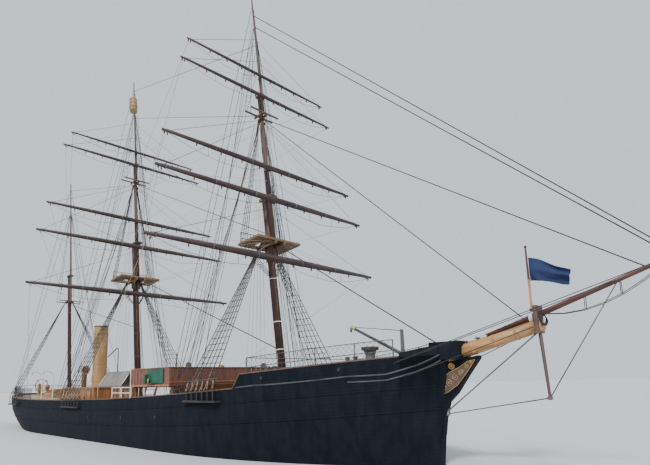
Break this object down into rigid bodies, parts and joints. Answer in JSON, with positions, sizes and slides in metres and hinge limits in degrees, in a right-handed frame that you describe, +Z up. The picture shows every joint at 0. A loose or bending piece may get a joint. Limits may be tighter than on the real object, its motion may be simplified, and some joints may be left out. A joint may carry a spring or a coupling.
{
  "type": "three-masted auxiliary barque, 1:2 scale model",
  "caption": "Wooden steam and sail barque afloat with bare yards, tall raked masts, a long jib-boom, a bridge across the deck, a funnel, an awning and a crow's nest.",
  "frame": {"origin": "on the centreline amidships, at the waterline", "axes": "+X to the bow, +Y to port, +Z up"},
  "size_m": [32.3308, 9.45, 19.0327],
  "materials": {
    "black_hull": "blue-black paint on planking",
    "planked_deck": "bare scrubbed planks",
    "brown_spar": "brown oiled wood",
    "ochre_spar": "ochre varnish",
    "dark_red_spar": "dark red-brown paint",
    "tan_wood": "worn oiled wood",
    "varnished_wood": "gloss varnish",
    "red_brown_paint": "red-brown paint",
    "grey_iron": "grey paint on iron",
    "tarred_wire": "tarred wire rope",
    "funnel_buff": "buff paint",
    "bronze": "dull bronze",
    "grey_canvas": "grey canvas",
    "white_paint": "white paint on tube"
  },
  "bodies": {
    "ship": {"hull": "black_hull", "decks": "planked_deck", "cap_rail": "brown_spar", "poop_rail": "grey_iron", "forecastle_rail": "grey_iron", "bowsprit": "ochre_spar", "bowsprit_cap": "grey_iron", "jib_boom": "dark_red_spar", "fore_lower_mast": "brown_spar", "fore_topmast": "brown_spar", "fore_topgallant_mast": "brown_spar", "fore_crosstrees": "brown_spar", "fore_top": "tan_wood", "main_lower_mast": "brown_spar", "main_topmast": "brown_spar", "main_topgallant_mast": "brown_spar", "main_crosstrees": "brown_spar", "main_top": "tan_wood", "mizzen_lower_mast": "brown_spar", "mizzen_topmast": "brown_spar", "mizzen_crosstrees": "brown_spar", "fore_shrouds_starboard": "tarred_wire", "fore_shrouds_port": "tarred_wire", "main_shrouds_starboard": "tarred_wire", "main_shrouds_port": "tarred_wire", "mizzen_shrouds_starboard": "tarred_wire", "mizzen_shrouds_port": "tarred_wire", "fore_stay": "tarred_wire", "fore_topmast_stays": "tarred_wire", "fore_topgallant_stays": "tarred_wire", "main_stay": "tarred_wire", "main_topmast_stay": "tarred_wire", "mizzen_stay": "tarred_wire", "bobstays": "grey_iron", "crows_nest": "tan_wood", "bridge": "red_brown_paint", "bridge_house": "varnished_wood", "hatch": "tan_wood", "after_house": "varnished_wood", "funnel": "funnel_buff", "cowl_ventilator": "funnel_buff", "skylight": "tan_wood", "wheel_pedestal": "tan_wood", "awning": "grey_canvas", "awning_frame": "white_paint"},
    "fore_royal_yard": {"fore_royal_yard": "brown_spar"},
    "fore_topgallant_yard": {"fore_topgallant_yard": "brown_spar"},
    "fore_upper_topsail_yard": {"fore_upper_topsail_yard": "brown_spar"},
    "fore_lower_topsail_yard": {"fore_lower_topsail_yard": "brown_spar"},
    "fore_course_yard": {"fore_course_yard": "brown_spar"},
    "main_royal_yard": {"main_royal_yard": "brown_spar"},
    "main_topgallant_yard": {"main_topgallant_yard": "brown_spar"},
    "main_upper_topsail_yard": {"main_upper_topsail_yard": "brown_spar"},
    "main_lower_topsail_yard": {"main_lower_topsail_yard": "brown_spar"},
    "main_course_yard": {"main_course_yard": "brown_spar"},
    "rudder": {"rudder": "black_hull"},
    "propeller": {"propeller": "bronze"},
    "steering_wheel": {"steering_wheel": "varnished_wood"},
    "capstan": {"capstan": "grey_iron"},
    "anchor_crane": {"anchor_crane": "grey_iron"}
  },
  "joints": [
    {"name": "fore_royal_brace", "type": "hinge", "parent": "ship", "child": "fore_royal_yard", "pos_m": [7.1032, 0, 12.47106], "axis": [-0.1149, 0, 0.9934], "range_deg": [-27, 27]},
    {"name": "fore_topgallant_brace", "type": "hinge", "parent": "ship", "child": "fore_topgallant_yard", "pos_m": [7.19802, 0, 11.65152], "axis": [-0.1149, 0, 0.9934], "range_deg": [-27, 27]},
    {"name": "fore_upper_topsail_brace", "type": "hinge", "parent": "ship", "child": "fore_upper_topsail_yard", "pos_m": [7.38739, 0, 8.95341], "axis": [-0.1149, 0, 0.9934], "range_deg": [-27, 27]},
    {"name": "fore_lower_topsail_brace", "type": "hinge", "parent": "ship", "child": "fore_lower_topsail_yard", "pos_m": [7.66064, 0, 7.77501], "axis": [-0.1149, 0, 0.9934], "range_deg": [-27, 27]},
    {"name": "fore_course_brace", "type": "hinge", "parent": "ship", "child": "fore_course_yard", "pos_m": [7.79401, 0, 5.76099], "axis": [-0.1149, 0, 0.9934], "range_deg": [-27, 27]},
    {"name": "main_royal_brace", "type": "hinge", "parent": "ship", "child": "main_royal_yard", "pos_m": [-1.81988, 0, 12.74415], "axis": [-0.1132, 0, 0.9936], "range_deg": [-27, 27]},
    {"name": "main_topgallant_brace", "type": "hinge", "parent": "ship", "child": "main_topgallant_yard", "pos_m": [-1.74063, 0, 12.04865], "axis": [-0.1132, 0, 0.9936], "range_deg": [-27, 27]},
    {"name": "main_upper_topsail_brace", "type": "hinge", "parent": "ship", "child": "main_upper_topsail_yard", "pos_m": [-1.55103, 0, 9.28032], "axis": [-0.1132, 0, 0.9936], "range_deg": [-27, 27]},
    {"name": "main_lower_topsail_brace", "type": "hinge", "parent": "ship", "child": "main_lower_topsail_yard", "pos_m": [-1.2701, 0, 8.01599], "axis": [-0.1132, 0, 0.9936], "range_deg": [-27, 27]},
    {"name": "main_course_brace", "type": "hinge", "parent": "ship", "child": "main_course_yard", "pos_m": [-1.12284, 0, 5.85779], "axis": [-0.1132, 0, 0.9936], "range_deg": [-27, 27]},
    {"name": "rudder_turn", "type": "hinge", "parent": "ship", "child": "rudder", "pos_m": [-13.19, 0, -1], "axis": [0, 0, 1], "range_deg": [-35, 35]},
    {"name": "propeller_spin", "type": "hinge", "parent": "ship", "child": "propeller", "pos_m": [-12.18, 0, -1], "axis": [1, 0, 0], "continuous": true},
    {"name": "wheel_turn", "type": "hinge", "parent": "ship", "child": "steering_wheel", "pos_m": [-12.25, 0, 2.08], "axis": [1, 0, 0], "range_deg": [-350, 350]},
    {"name": "capstan_turn", "type": "hinge", "parent": "ship", "child": "capstan", "pos_m": [11.3, 0, 2.4], "axis": [0, 0, 1], "continuous": true},
    {"name": "crane_slew", "type": "hinge", "parent": "ship", "child": "anchor_crane", "pos_m": [12.3, 0, 2.8], "axis": [0, 0, 1], "range_deg": [-150, 150]}
  ],
  "couplings": [
    {"joint": "wheel_turn", "follows": "rudder_turn", "ratio": 10}
  ]
}
